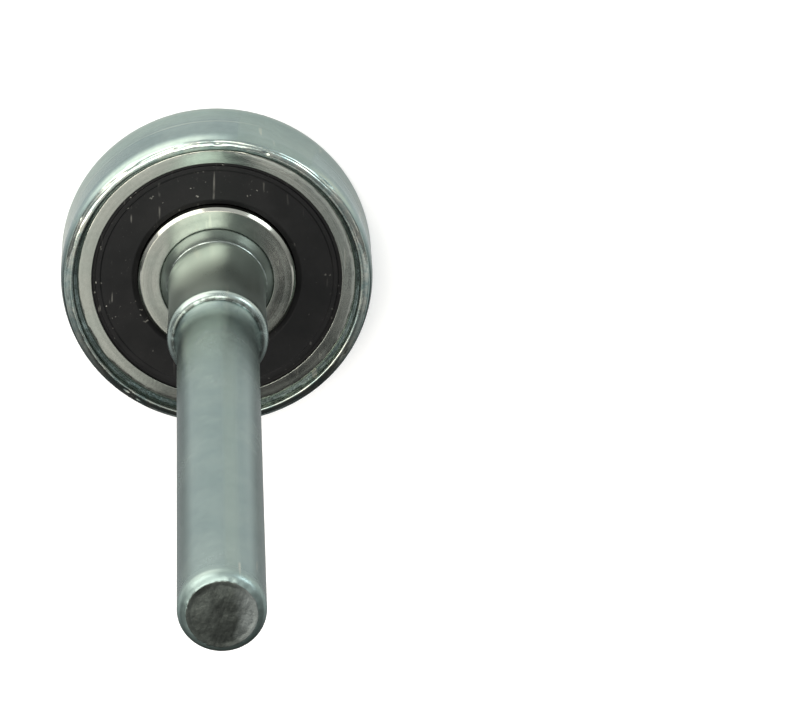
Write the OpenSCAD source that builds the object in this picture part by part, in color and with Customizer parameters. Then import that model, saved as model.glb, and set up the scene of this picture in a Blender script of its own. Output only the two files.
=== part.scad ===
// Garage door roller: a steel-tyred ball bearing wheel on a cold-formed steel stem.
// The roller stands on the rear lip of its tyre with the stem pointing up along +Z.
// The origin is on the axis, in the plane of the rear lip's crest.

/* [Stem] */
// Diameter of the plain rod that turns in the hinge bracket
rod_d = 10; // [8:0.5:12]
// Height of the rod's tip above the outer ring's front face
rod_reach = 96; // [60:1:140]
// Radius of the rounding at the rod's tip
tip_round = 1.5; // [0.4:0.05:2]
// Angle at which the tip's rounding breaks into the sheared end face
tip_break = 68; // [60:1:88]
// How far the bead that stops against the bracket stands out of the rod
bead_stand = 1.2; // [1:0.05:2]
// Radius of the bead's section
bead_round = 0.9; // [0.6:0.05:1]
// Angle at which the bead's section ends at its root on the rod's side
bead_turn = 85; // [75:1:88]
// Length over which the rod widens towards the bead's root
root_reach = 4; // [2:0.25:6]
// Height of the bead's crest above the outer ring's front face
bead_reach = 18.2; // [14:0.2:30]
// How far the neck is hollowed below the bead
neck_hollow = 0.2; // [0.1:0.05:0.5]
// Height of the neck's waist above the outer ring's front face
neck_reach = 4.5; // [3.75:0.25:11]
// Height of the shoulder's front edge above the outer ring's front face
shoulder_reach = 2.55; // [1.8:0.05:4]
// How much the shoulder tapers in, on the radius
shoulder_taper = 0.64; // [0.3:0.02:0.8]
// Width of the broken edge between shoulder and neck
shoulder_edge = 0.15; // [0.05:0.05:0.3]
// How far the peened rear head laps over the inner ring's rear face
head_lap = 0.55; // [0.3:0.05:1]
// Thickness of the peened head
head_t = 0.45; // [0.3:0.05:0.6]
// Depth of the dimple that the peening tool leaves
dimple_t = 0.15; // [0.05:0.05:0.25]
// Diameter of that dimple
dimple_d = 5; // [3:0.5:8]

/* [Bearing] */
// Bore of the inner ring, in which the stem is seated
bore_d = 14; // [13:0.1:15]
// Outside diameter of the outer ring, which the tyre is pressed on
outer_ring_d = 35; // [32:0.5:40]
// Width of the outer ring
outer_ring_w = 9; // [8.2:0.2:12]
// How far the inner ring stands out of the outer ring on each side
inner_proud = 0.6; // [0.4:0.05:0.8]
// How much larger the pitch circle is than the mean of bore and outside diameter
pitch_shift = 1; // [0.6:0.1:1.4]
// Ball diameter, 3/16 inch
ball_d = 4.7625; // [4.4:0.0125:5.2]
// Number of balls
ball_count = 9; // [7:1:9]
// Play between a ball and each raceway
ball_play = 0.03; // [0.02:0.01:0.08]
// How much larger a raceway's radius is than the ball's
raceway_ease = 0.095; // [0.05:0.005:0.15]
// Depth of the raceways below the rings' shoulders
raceway_depth = 0.76; // [0.5:0.02:0.9]
// Chamfer on the outer ring's rim
outer_chamfer = 0.25; // [0.15:0.05:0.4]
// Chamfer at both mouths of the inner ring's bore
bore_chamfer = 0.15; // [0.1:0.05:0.4]
// Chamfer on the rim of the inner ring's ends
inner_chamfer = 0.4; // [0.2:0.05:0.6]

/* [Cage] */
// Thickness of the pressed cage strip
cage_t = 0.45; // [0.3:0.05:0.5]
// Width of the cage strip across the pitch circle
cage_w = 1.8; // [1.4:0.1:2.2]
// Play between a ball and its pocket
pocket_play = 0.08; // [0.05:0.01:0.12]
// Diameter of a cage rivet's shank
rivet_d = 0.9; // [0.6:0.1:1]
// How far a cage rivet's heads lap over the strip
rivet_lap = 0.3; // [0.2:0.05:0.4]
// Thickness of a cage rivet's heads
rivet_head_t = 0.35; // [0.2:0.05:0.5]

/* [Seals] */
// Rim of the outer ring's face, from its outside to the mouth round the seal
rim_w = 1.9; // [1.6:0.05:2.1]
// Depth of the mouth in front of the seal's groove
mouth_t = 0.3; // [0.2:0.05:0.4]
// How much deeper the seal's groove is cut, on the radius
groove_t = 0.28; // [0.1:0.02:0.35]
// Depth of the seal's seat below the outer ring's face
seal_seat = 1; // [0.9:0.05:1.1]
// Depth of the seal's flat face below the outer ring's face
seal_recess = 0.36; // [0.25:0.02:0.45]
// Distance of the moulded step on the seal's face from the ring's mouth
step_in = 1.02; // [0.7:0.02:1.6]
// Height of that step
step_t = 0.14; // [0.06:0.02:0.2]
// Width of the open crease between the seal and the ring's mouth
crease_w = 0.45; // [0.2:0.05:0.6]
// Depth of the crease below the seal's step
crease_t = 0.3; // [0.1:0.05:0.4]
// How much smaller the inner ring's ends, where the seals run, are than its shoulders, on the radius
land_step = 1.25; // [0.8:0.05:1.5]
// Width of the sloping lip at the seal's inner edge
seal_lip_w = 0.7; // [0.4:0.05:1]
// Thickness of the seal's lip at its edge
seal_lip_t = 0.25; // [0.15:0.05:0.4]
// Play between the seal's lip and the inner ring
seal_play = 0.08; // [0.05:0.01:0.1]
// Play between the back of the seal and the inner ring's shoulder
seal_back_play = 0.35; // [0.2:0.05:0.6]

/* [Tyre] */
// Wall of the tyre over the outer ring
tyre_wall = 1.95; // [1.7:0.05:3]
// How far the rolled lips stand past the outer ring's faces
lip_proud = 1.3; // [1.1:0.05:2]
// Radius of the rounding on the inner side of a lip's crest
lip_round = 0.3; // [0.2:0.05:0.35]
// Radius of the hollow that leads from the lip down to the outer ring's edge
hollow_round = 0.9; // [0.6:0.05:1]
// Angle through which that hollow turns
hollow_angle = 60; // [45:1:65]
// Radius of the tread's rounded shoulders
shoulder_round = 6.4; // [5:0.1:8]
// Angle at which a shoulder turns into the rounded crown of the lip
shoulder_angle = 15; // [10:1:18]

/* [Hidden] */

round_fn = 96;
sphere_fn = 64;
rivet_fn = 32;
arc_steps = 10;

// Heights
ring_half = outer_ring_w / 2;
inner_half = ring_half + inner_proud;
tyre_half = ring_half + lip_proud;
groove_top = ring_half - mouth_t;
seal_floor = ring_half - seal_seat;
mid_z = tyre_half;
face_z = mid_z + ring_half;
tip_z = face_z + rod_reach;

// Radii
rod_r = rod_d / 2;
bore_r = bore_d / 2;
outer_ring_r = outer_ring_d / 2;
mouth_r = outer_ring_r - rim_w;
groove_r = mouth_r + groove_t;
ball_r = ball_d / 2;
pitch_r = (bore_d + outer_ring_d) / 4 + pitch_shift / 2;
raceway_r = ball_r + raceway_ease;
outer_raceway_r = pitch_r + ball_r + ball_play;
inner_raceway_r = pitch_r - ball_r - ball_play;
outer_land_r = outer_raceway_r - raceway_depth;
inner_land_r = inner_raceway_r + raceway_depth;
seal_land_r = inner_land_r - land_step;

// Points on a circle of radius r round c, from angle a to angle b
function arc(c, r, a, b, n = arc_steps) =
    [for (i = [0:n]) let (t = a + (b - a) * i / n) [c[0] + r * cos(t), c[1] + r * sin(t)]];

// Points of a curve that leaves p upright and bends outwards to q: the radius grows with the square
// of the height above p. Turned round, it bends down from q to an upright end at p.
function flare(p, q, n = arc_steps) =
    [for (i = [0:n]) let (t = i / n) [p[0] + (q[0] - p[0]) * t * t, p[1] + (q[1] - p[1]) * t]];

function reversed(points) = [for (i = [len(points) - 1:-1:0]) points[i]];

// The points without those that repeat the one before
function single(points) =
    [for (i = [0:len(points) - 1]) if (i == 0 || norm(points[i] - points[i - 1]) > 0.0001) points[i]];

// An outline and its mirror image below the line Y = 0, as one closed outline
function both_sides(points) = concat(points, [for (p = reversed(points)) [p[0], -p[1]]]);

// Turns a section about the roller's axis. The section is drawn with the radius along X and the
// distance from the bearing's middle plane along Y.
module turned() {
    translate([0, 0, mid_z])
        rotate_extrude($fn = round_fn)
            children();
}

// Puts its children on the pitch circle, at the balls or that many ball steps further round
module at_each_ball(step) {
    for (i = [0:ball_count - 1])
        rotate([0, 0, (i + step) * 360 / ball_count])
            translate([pitch_r, 0, 0])
                children();
}

// ---- Stem -------------------------------------------------------------------------------------

// The bead's section is an arc round [bead_c, bead_z]. It starts at the neck's own slope and ends at
// its root, from where the rod narrows to its plain length, which starts at rod_z.
bead_c = rod_r + bead_stand - bead_round;
bead_z = face_z + bead_reach;
bead_lead = atan(2 * neck_hollow / (bead_reach - neck_reach));
bead_root = [bead_c + bead_round * cos(bead_turn), bead_z + bead_round * sin(bead_turn)];
rod_z = bead_root[1] + root_reach;

module stem() {
    rear_z = mid_z - inner_half;
    front_z = mid_z + inner_half;
    head_z = rear_z - head_t;
    head_r = bore_r + bore_chamfer + head_lap;
    dimple_r = dimple_d / 2;
    shoulder_z = face_z + shoulder_reach;
    shoulder_r = bore_r - shoulder_taper;
    neck_start = [shoulder_r - shoulder_edge, shoulder_z + shoulder_edge];
    waist = [rod_r + bead_stand - neck_hollow, face_z + neck_reach];
    bead_start = [bead_c + bead_round * cos(bead_lead), bead_z - bead_round * sin(bead_lead)];
    head = concat(
        [[0, head_z + dimple_t], [dimple_r / 2, head_z + dimple_t], [dimple_r, head_z]],
        arc([head_r - head_t, rear_z], head_t, -90, 0),
        [[bore_r + bore_chamfer, rear_z], [bore_r, rear_z + bore_chamfer]]);
    shoulder = [[bore_r, front_z], [shoulder_r, shoulder_z]];
    neck = concat(reversed(flare(waist, neck_start)), flare(waist, bead_start));
    bead = concat(
        arc([bead_c, bead_z], bead_round, -bead_lead, bead_turn),
        reversed(flare([rod_r, rod_z], bead_root)));
    tip = arc([rod_r - tip_round, tip_z - tip_round * sin(tip_break)], tip_round, 0, tip_break);
    color("lightslategray")
        rotate_extrude($fn = round_fn)
            polygon(single(concat(head, shoulder, neck, bead, tip, [[0, tip_z]])));
}

// ---- Tyre and bearing rings --------------------------------------------------------------------

// From the tread's edge: the shoulder, the crown, the rounding inside the crest and the hollow, which
// ends halfway down the ring's chamfer. The crown's radius follows from what the others leave.
module tyre() {
    tyre_r = outer_ring_r + tyre_wall;
    stake = [outer_ring_r - outer_chamfer / 2, ring_half - outer_chamfer / 2];
    hollow_c = [stake[0] - hollow_round * cos(hollow_angle), stake[1] + hollow_round * sin(hollow_angle)];
    crest_r = hollow_c[0] + hollow_round + lip_round;
    shoulder_r = tyre_r - shoulder_round * (1 - cos(shoulder_angle));
    crown_round = (shoulder_r - crest_r) / cos(shoulder_angle);
    tread_half = tyre_half - crown_round * (1 - sin(shoulder_angle)) - shoulder_round * sin(shoulder_angle);
    half = concat(
        arc([tyre_r - shoulder_round, tread_half], shoulder_round, 0, shoulder_angle),
        arc([crest_r, tyre_half - crown_round], crown_round, shoulder_angle, 90),
        arc([crest_r, tyre_half - lip_round], lip_round, 90, 180),
        arc(hollow_c, hollow_round, 0, -hollow_angle),
        [[outer_ring_r, ring_half - outer_chamfer]]);
    color("silver")
        turned()
            polygon(both_sides(single(half)));
}

module outer_ring() {
    half = [
        [outer_ring_r, ring_half - outer_chamfer], [outer_ring_r - outer_chamfer, ring_half],
        [mouth_r, ring_half], [mouth_r, groove_top], [groove_r, groove_top - groove_t],
        [groove_r, seal_floor], [outer_land_r, seal_floor]];
    color("gainsboro")
        turned()
            difference() {
                polygon(both_sides(half));
                translate([outer_raceway_r - raceway_r, 0])
                    circle(r = raceway_r, $fn = round_fn);
            }
}

module inner_ring() {
    shoulder_half = seal_floor - seal_back_play;
    half = [
        [inner_land_r, shoulder_half], [seal_land_r, shoulder_half],
        [seal_land_r, inner_half - inner_chamfer], [seal_land_r - inner_chamfer, inner_half],
        [bore_r + bore_chamfer, inner_half], [bore_r, inner_half - bore_chamfer]];
    color("gainsboro")
        turned()
            difference() {
                polygon(both_sides(half));
                translate([inner_raceway_r + raceway_r, 0])
                    circle(r = raceway_r, $fn = round_fn);
            }
}

// ---- Seals -------------------------------------------------------------------------------------

module seal_section() {
    flat_y = ring_half - seal_recess;
    step_y = flat_y + step_t;
    crease_y = step_y - crease_t;
    step_r = mouth_r - step_in;
    crease_r = mouth_r - crease_w;
    lip_r = seal_land_r + seal_play;
    polygon([
        [lip_r, seal_floor], [lip_r, seal_floor + seal_lip_t], [lip_r + seal_lip_w, flat_y],
        [step_r - step_t, flat_y], [step_r, step_y], [crease_r, step_y], [crease_r, crease_y],
        [mouth_r, crease_y], [mouth_r, groove_top], [groove_r, groove_top - groove_t],
        [groove_r, seal_floor]]);
}

module seal(side) {
    color("dimgray")
        turned()
            mirror([0, side])
                seal_section();
}

// ---- Balls and cage ----------------------------------------------------------------------------

module ball(index) {
    color("lightsteelblue")
        rotate([0, 0, (index - 1) * 360 / ball_count])
            translate([pitch_r, 0, mid_z])
                sphere(r = ball_r, $fn = sphere_fn);
}

// Half of the pressed cage: a flat strip on the middle plane that domes over every ball
module cage_half(side) {
    pocket_r = ball_r + pocket_play;
    dome_r = pocket_r + cage_t;
    reach = dome_r + cage_t;
    color("darkgray")
        translate([0, 0, mid_z])
            mirror([0, 0, side])
                difference() {
                    intersection() {
                        difference() {
                            cylinder(r = pitch_r + cage_w / 2, h = reach, $fn = round_fn);
                            cylinder(r = pitch_r - cage_w / 2, h = 2 * reach, center = true,
                                     $fn = round_fn);
                        }
                        union() {
                            cylinder(r = pitch_r + cage_w, h = cage_t, $fn = round_fn);
                            at_each_ball(0)
                                sphere(r = dome_r, $fn = sphere_fn);
                        }
                    }
                    at_each_ball(0)
                        sphere(r = pocket_r, $fn = sphere_fn);
                    at_each_ball(0.5)
                        cylinder(d = rivet_d, h = 4 * cage_t, center = true, $fn = rivet_fn);
                }
}

module cage_rivets() {
    color("lightgray")
        translate([0, 0, mid_z])
            at_each_ball(0.5) {
                cylinder(d = rivet_d, h = 2 * cage_t, center = true, $fn = rivet_fn);
                for (side = [0, 1])
                    mirror([0, 0, side])
                        translate([0, 0, cage_t])
                            cylinder(d = rivet_d + 2 * rivet_lap, h = rivet_head_t, $fn = rivet_fn);
            }
}

// ---- The roller --------------------------------------------------------------------------------

stem();
tyre();
outer_ring();
inner_ring();
for (i = [1:ball_count])
    ball(i);
cage_half(0);  // cage_front_half
cage_half(1);  // cage_rear_half
cage_rivets();
seal(0);  // front_seal
seal(1);  // rear_seal
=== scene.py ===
# %% [markdown]
# # A garage door roller
#
# Each edge of a sectional garage door carries a few of these rollers. The wheel is a sealed ball
# bearing with a steel tyre pressed over it, and it runs in the door's track. The stem slides into
# a bracket on the door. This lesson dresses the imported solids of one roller: it replaces the ones
# that show by finer surfaces, gives every piece the finish of the real one, and lights it.
#
# Everything is in metres in the file that Blender gets, and in millimetres in the code, because a
# roller is a small thing and its sizes read best that way.

import bpy
import numpy as np
from mathutils import Matrix, Vector


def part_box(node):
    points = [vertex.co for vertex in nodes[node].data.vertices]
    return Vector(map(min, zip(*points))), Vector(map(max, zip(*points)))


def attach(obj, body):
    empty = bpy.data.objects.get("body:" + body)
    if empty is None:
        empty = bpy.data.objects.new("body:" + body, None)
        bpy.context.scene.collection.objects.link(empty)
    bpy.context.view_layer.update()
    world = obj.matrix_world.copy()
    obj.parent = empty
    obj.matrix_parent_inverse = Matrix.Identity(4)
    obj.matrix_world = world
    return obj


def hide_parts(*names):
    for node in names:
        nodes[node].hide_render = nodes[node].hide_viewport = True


MM = 0.001
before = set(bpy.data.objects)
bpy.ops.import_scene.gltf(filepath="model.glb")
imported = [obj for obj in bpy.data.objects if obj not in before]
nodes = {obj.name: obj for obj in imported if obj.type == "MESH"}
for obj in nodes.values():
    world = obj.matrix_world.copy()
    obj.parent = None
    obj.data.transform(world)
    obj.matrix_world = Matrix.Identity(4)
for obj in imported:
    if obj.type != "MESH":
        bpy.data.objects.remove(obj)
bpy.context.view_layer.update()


def top(node):
    """The height of a node's top, in millimetres."""
    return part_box(node)[1].z / MM


def half_across(node):
    """Half a node's width, in millimetres: its largest radius, since the axis is X = Y = 0."""
    low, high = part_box(node)
    return max(high.x, high.y, -low.x, -low.y) / MM


print("solids:", ", ".join(sorted(nodes)))

# %% [markdown]
# ## Camera
#
# The roller stands on the rear lip of its tyre, and the camera looks down on it steeply, along a
# line that is 22.6 degrees off the stem. It hangs upside down, so that the stem runs down the
# picture. A long lens from three quarters of a metre away gives the mild perspective.
#
# The roller stands in the left half of the picture. A camera can be turned so that two known
# points land where they should: the directions of the two points in the camera's own axes, and
# the same two in the world, each give a set of three perpendicular vectors, and the turn is the
# one that carries the first set onto the second. So the lens needs no shift.

# %% Camera
CAMERA_ELEVATION = 67.4         # degrees above the floor
CAMERA_DISTANCE = 762           # from the middle of the bearing's face
LENS = 275
SENSOR = 36
FACE_IN_FRAME = (-0.2289, 0.1003)   # right and up of the middle, in widths of the frame
TIP_IN_FRAME = (-0.2225, -0.3183)

face_z = top("outer_ring")
tip_z = top("stem")


def three_axes(first, second):
    """Three perpendicular unit vectors as columns: the first direction, the normal of the plane
    of both, and the cross product of these two."""
    u = np.array(first, float) / np.linalg.norm(first)
    w = np.cross(u, second)
    w /= np.linalg.norm(w)
    return np.column_stack([u, w, np.cross(u, w)])


def make_camera():
    """A camera whose turn carries both view directions onto the points they should show."""
    tilt = np.radians(CAMERA_ELEVATION)
    face = np.array([0, 0, face_z])
    place = face + CAMERA_DISTANCE * np.array([0, -np.cos(tilt), np.sin(tilt)])
    seen = [np.array([*spot, -LENS / SENSOR]) for spot in (FACE_IN_FRAME, TIP_IN_FRAME)]
    wanted = [face - place, np.array([0, 0, tip_z]) - place]
    turn = three_axes(*wanted) @ three_axes(*seen).T
    data = bpy.data.cameras.new("camera")
    data.lens, data.sensor_width = LENS, SENSOR
    data.clip_start, data.clip_end = 0.05, 20
    camera = bpy.data.objects.new("camera", data)
    camera.matrix_world = Matrix.Translation(Vector(place * MM)) @ Matrix(turn.tolist()).to_4x4()
    bpy.context.scene.collection.objects.link(camera)
    bpy.context.scene.camera = camera
    return camera


camera = make_camera()
print("camera at", [round(v, 4) for v in camera.location])

# %% [markdown]
# ## Surfaces turned on a lathe
#
# Every piece of the roller is round, because each was turned, rolled or headed. Blender has a
# Screw modifier and a Spin tool for such shapes. Here the surface is worked out directly: an
# outline of points (r, z) is carried round the axis, and the point at angle a is
# (r cos a, r sin a, z). The result is one grid of numbers, so a dent or a ripple is only a formula
# that moves the points of the grid along their normals before the mesh is made.

# %% Outlines
CORNER_STEP = 15        # degrees of turn between two points of a rounded corner
BESIDE_CORNER = 0.04    # a flat's first point beside a corner, which keeps its shading flat


def arc(centre, radius, start, end, count):
    """Points centre + radius (cos t, sin t), with t in degrees from start to end."""
    t = np.radians(np.linspace(start, end, count))
    return np.column_stack([centre[0] + radius * np.cos(t), centre[1] + radius * np.sin(t)])


def softened(corners, radii, closed):
    """An outline with its corners rounded. Where it turns by the angle t, an arc of radius r
    starts r tan(t / 2) before the corner and ends as far after it."""
    corners = np.array(corners, float)
    count = len(corners)
    parts = []
    for i, (corner, radius) in enumerate(zip(corners, radii)):
        if radius == 0 or (not closed and i in (0, count - 1)):
            parts.append(corner[None])
            continue
        into = corner - corners[i - 1]
        out = corners[(i + 1) % count] - corner
        into, out = into / np.linalg.norm(into), out / np.linalg.norm(out)
        turn = np.arctan2(into[0] * out[1] - into[1] * out[0], into @ out)
        side = np.array([-into[1], into[0]]) * np.sign(turn)
        centre = corner - into * radius * np.tan(abs(turn) / 2) + side * radius
        first = np.degrees(np.arctan2(-side[1], -side[0]))
        steps = int(np.ceil(abs(np.degrees(turn)) / CORNER_STEP)) + 1
        parts.append(arc(centre, radius, first, first + np.degrees(turn), steps))
    return np.concatenate(parts)


def refined(outline, pitch, closed):
    """The outline with points added on its longer straights: one beside each end, and between
    them so many that none is further than the pitch from the next."""
    ends = np.roll(outline, -1, axis=0) if closed else outline[1:]
    parts = []
    for p, q in zip(outline, ends):
        length = np.linalg.norm(q - p)
        if length > 4 * BESIDE_CORNER:
            beside = BESIDE_CORNER / length
            inner = np.linspace(beside, 1 - beside, max(2, int(np.ceil(length / pitch)) + 1))
            t = np.concatenate([[0], inner])
        else:
            t = np.array([0.0])
        parts.append(p + t[:, None] * (q - p))
    if not closed:
        parts.append(outline[-1:])
    return np.concatenate(parts)


# %% The lathe
def turned(name, outline, around, closed, relief, masks):
    """The surface (r cos a, r sin a, z) of an outline that runs up the outside of the piece.
    relief(r, z, a) moves each point along the outline's normal (dz, -dr), and masks give the
    mesh a named number at each point. An open outline starts and ends on the axis."""
    a = np.arange(around) * 2 * np.pi / around
    r, z = outline[:, :1], outline[:, 1:]
    if closed:
        step = np.roll(outline, -1, axis=0) - np.roll(outline, 1, axis=0)
    else:
        step = np.gradient(outline, axis=0)
    step /= np.linalg.norm(step, axis=1)[:, None]
    lift = relief(r, z, a)
    radius = r + step[:, 1:] * lift
    height = z - step[:, :1] * lift
    points = np.stack([radius * np.cos(a), radius * np.sin(a), height], axis=2).reshape(-1, 3)
    rows = len(outline)
    number = np.arange(rows * around).reshape(rows, around)
    faces = []
    if closed:
        here, above = number, np.roll(number, -1, axis=0)
    else:
        here, above = number[1:-2], number[2:-1]
        number[0], number[-1] = number[0, 0], number[-1, 0]
        first, last = number[1], number[-2]
        faces = [np.column_stack([number[0], np.roll(first, -1), first]),
                 np.column_stack([last, np.roll(last, -1), number[-1]])]
    quads = np.stack([here, np.roll(here, -1, axis=1), np.roll(above, -1, axis=1), above], axis=2)
    mesh = bpy.data.meshes.new(name)
    loops = [quads.reshape(-1)] + [f.reshape(-1) for f in faces]
    sizes = [np.full(quads.size // 4, 4)] + [np.full(len(f), 3) for f in faces]
    loops, sizes = np.concatenate(loops), np.concatenate(sizes)
    used, loops = np.unique(loops, return_inverse=True)
    mesh.vertices.add(len(used))
    mesh.vertices.foreach_set("co", (points[used] * MM).astype(np.float32).reshape(-1))
    mesh.loops.add(len(loops))
    mesh.loops.foreach_set("vertex_index", loops.astype(np.int32))
    mesh.polygons.add(len(sizes))
    mesh.polygons.foreach_set("loop_start", (np.cumsum(sizes) - sizes).astype(np.int32))
    mesh.polygons.foreach_set("use_smooth", np.ones(len(sizes), bool))
    mesh.update(calc_edges=True)
    for key, mask in masks.items():
        values = np.broadcast_to(mask(r, z, a), (rows, around)).reshape(-1)[used]
        attribute = mesh.attributes.new(key, "FLOAT", "POINT")
        attribute.data.foreach_set("value", values.astype(np.float32))
    mesh.validate()
    piece = bpy.data.objects.new(name, mesh)
    bpy.context.scene.collection.objects.link(piece)
    print(f"{name}: {rows} points x {around} steps, {sum(sizes - 2)} triangles")
    return piece


# %% Ripples, mottle and dents
def ripple(a, lowest, highest, seed):
    """A wavy line round the axis that closes on itself: the sum of cos(k a + phase) / sqrt(k)
    over the whole numbers k from lowest to highest, scaled to lie between -1 and 1."""
    k = np.arange(lowest, highest + 1)
    phase = np.random.default_rng(seed).uniform(0, 2 * np.pi, k.size)
    total = (np.cos(np.multiply.outer(a, k) + phase) / np.sqrt(k)).sum(axis=-1)
    return total / np.abs(total).max()


def mottle(distance, a, round_about, length, seed, waves=24):
    """A lumpy field over distance and angle: the mean of cos(k a + m distance + phase), with
    whole numbers k up to round_about and waves m down to the given length, scaled to +-1."""
    rng = np.random.default_rng(seed)
    k = rng.integers(-round_about, round_about + 1, waves)
    m = rng.uniform(-1, 1, waves) * 2 * np.pi / length
    phase = rng.uniform(0, 2 * np.pi, waves)
    total = np.zeros(np.broadcast(distance, a).shape)
    for each_k, each_m, each_phase in zip(k, m, phase):
        total += np.cos(each_k * a + each_m * distance + each_phase)
    return total / np.abs(total).max()


def lumps(x, y, length, seed, waves=30):
    """A lumpy field over a flat face: the mean of cos(p x + q y + phase), with wave vectors (p, q)
    in all directions and wavelengths from the given length up to four times that."""
    rng = np.random.default_rng(seed)
    size = 2 * np.pi / (length * 4 ** rng.uniform(0, 1, waves))
    turn, phase = rng.uniform(0, 2 * np.pi, (2, waves))
    total = np.zeros(np.broadcast(x, y).shape)
    for k, t, each_phase in zip(size, turn, phase):
        total += np.cos(k * (x * np.cos(t) + y * np.sin(t)) + each_phase)
    return total / np.abs(total).max()


def bump(distance, a, at, degrees, wide, long, radius):
    """A soft spot exp(-u^2 - v^2), u and v being the distances from its middle over its sizes."""
    turn = (a - np.radians(degrees) + np.pi) % (2 * np.pi) - np.pi
    return np.exp(-((turn * radius / long) ** 2) - ((distance - at) / wide) ** 2)


def near(values, at, width):
    """1 at the given value, falling off to 0 on both sides as exp(-u^2)."""
    return np.exp(-(((values - at) / width) ** 2))


def between(values, low, high, blur):
    """1 from low to high and 0 outside, with soft ends as wide as the blur."""
    return np.clip((values - low) / blur + 0.5, 0, 1) * np.clip((high - values) / blur + 0.5, 0, 1)


print("lathe ready")

# %% [markdown]
# ## Node groups
#
# Zinc plating is never one flat colour: it is clouded, it carries the marks of the tool below it,
# and it holds dust and rubbed spots. Such an effect is wanted in several finishes with other
# numbers, so each one is a node group, which is made once and then placed in each material.
# All of them read Object coordinates, so that a pattern has its real size on every piece, and they
# give out only colours, masks and heights. The shader stays in the material.

# %% Nodes
def place(tree, kind, **settings):
    """A new node. A setting whose name is a property of the node sets it, and any other sets the
    input socket of that name, with _ for a space."""
    node = tree.nodes.new(kind)
    for key, value in settings.items():
        if hasattr(node, key):
            setattr(node, key, value)
        else:
            node.inputs[key.replace("_", " ")].default_value = value
    return node


def new_group(name, inputs, outputs):
    """A node group with number or colour inputs and outputs; each input has a starting value."""
    group = bpy.data.node_groups.new(name, "ShaderNodeTree")
    for key, value in inputs.items():
        kind = "NodeSocketFloat" if np.isscalar(value) else "NodeSocketColor"
        socket = group.interface.new_socket(name=key, in_out="INPUT", socket_type=kind)
        socket.default_value = value
    for key, kind in outputs.items():
        group.interface.new_socket(name=key, in_out="OUTPUT", socket_type="NodeSocket" + kind)
    ends = group.nodes.new("NodeGroupInput"), group.nodes.new("NodeGroupOutput")
    return group, ends[0].outputs, ends[1].inputs


def number_of(tree, operation, first, second=0.0, third=0.0):
    """The output of a Math node on two or three sockets or numbers."""
    node = place(tree, "ShaderNodeMath", operation=operation)
    for socket, value in zip(node.inputs, (first, second, third)):
        if isinstance(value, bpy.types.NodeSocket):
            tree.links.new(value, socket)
        else:
            socket.default_value = value
    return node.outputs[0]


def noise(tree, where, scale, detail=2.0, roughness=0.5):
    """The value of a Noise Texture at a vector socket; the scale is a number or a socket."""
    node = place(tree, "ShaderNodeTexNoise", Detail=detail, Roughness=roughness)
    tree.links.new(where, node.inputs["Vector"])
    if isinstance(scale, bpy.types.NodeSocket):
        tree.links.new(scale, node.inputs["Scale"])
    else:
        node.inputs["Scale"].default_value = scale
    return node.outputs["Fac"]


def ramp(tree, value, low, high, steps=(0.0, 1.0), smooth=True):
    """Map Range: low gives the first of the steps and high the second, and it stays between."""
    node = place(tree, "ShaderNodeMapRange", clamp=True,
                 interpolation_type="SMOOTHSTEP" if smooth else "LINEAR")
    for key, given in zip(("Value", "From Min", "From Max", "To Min", "To Max"),
                          (value, low, high, *steps)):
        if isinstance(given, bpy.types.NodeSocket):
            tree.links.new(given, node.inputs[key])
        else:
            node.inputs[key].default_value = given
    return node.outputs["Result"]


def blended(tree, amount, first, second, blend="MIX"):
    """A Mix node on colours: sockets or RGBA values."""
    node = place(tree, "ShaderNodeMix", data_type="RGBA", blend_type=blend)
    for index, value in ((0, amount), (6, first), (7, second)):
        if isinstance(value, bpy.types.NodeSocket):
            tree.links.new(value, node.inputs[index])
        else:
            node.inputs[index].default_value = value
    return node.outputs[2]


# %% Group: clouds in the plating
def make_clouds():
    """Two sizes of noise shade a colour, and the larger pulls it towards a second colour."""
    group, given, out = new_group(
        "plating_clouds",
        {"Colour": (1, 1, 1, 1), "Other Colour": (1, 1, 1, 1), "Cloud Scale": 200.0, "Depth": 0.2},
        {"Color": "Color", "Cloud": "Float"})
    where = place(group, "ShaderNodeTexCoord").outputs["Object"]
    large = noise(group, where, given["Cloud Scale"], 3.0)
    small = noise(group, where, number_of(group, "MULTIPLY", given["Cloud Scale"], 7.0), 3.0, 0.65)
    cloud = ramp(group, large, 0.32, 0.68)
    tinted = blended(group, cloud, given["Colour"], given["Other Colour"])
    shade = number_of(group, "MULTIPLY", number_of(group, "SUBTRACT", small, 0.5), given["Depth"])
    shade = number_of(group, "ADD", shade, 1.0)
    grey = place(group, "ShaderNodeCombineColor")
    for socket in list(grey.inputs)[:3]:
        group.links.new(shade, socket)
    group.links.new(blended(group, 1.0, tinted, grey.outputs[0], "MULTIPLY"), out["Color"])
    group.links.new(cloud, out["Cloud"])
    return group


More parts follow.
